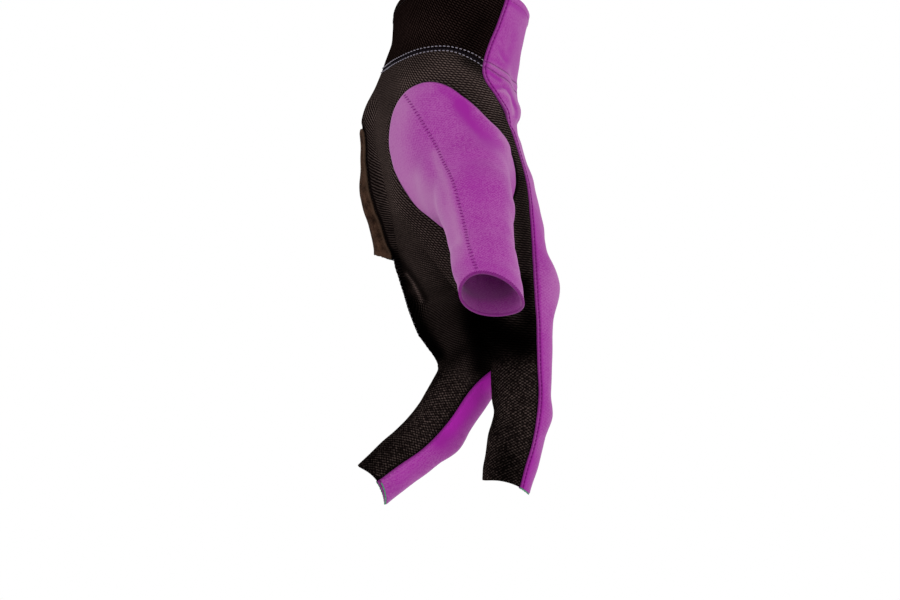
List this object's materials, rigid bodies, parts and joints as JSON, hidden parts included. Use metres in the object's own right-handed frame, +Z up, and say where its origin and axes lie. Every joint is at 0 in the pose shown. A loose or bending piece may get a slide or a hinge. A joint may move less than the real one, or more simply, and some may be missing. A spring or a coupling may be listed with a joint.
{
  "type": "billiard glove",
  "caption": "Billiard glove for a left hand in its worn shape: knit back and thumb cover, mesh palm and cuff, suede heel pad, open fingertips, and one opening for the free fingers.",
  "frame": {"origin": "middle of the wrist opening, where the glove sits on the wrist", "axes": "+Z up the forearm, so that the fingers hang down; -X the palm's side, +X the back of the hand; -Y the thumb's side, +Y the little finger's"},
  "size_m": [0.0709, 0.1256, 0.1808],
  "materials": {
    "back_knit": "smooth stretch knit, purple, with a soft sheen",
    "hand_mesh": "ribbed power mesh, brown black, matt",
    "cuff_mesh": "fine power mesh, black, matt",
    "thumb_knit": "smooth stretch knit, purple, with a soft sheen",
    "pad_suede": "thin suede, dark brown, matt"
  },
  "bodies": {
    "root": {"back_panel": "back_knit", "palm_mesh": "hand_mesh", "cuff_mesh": "cuff_mesh", "thumb_cover": "thumb_knit", "palm_pad": "pad_suede"}
  },
  "joints": []
}
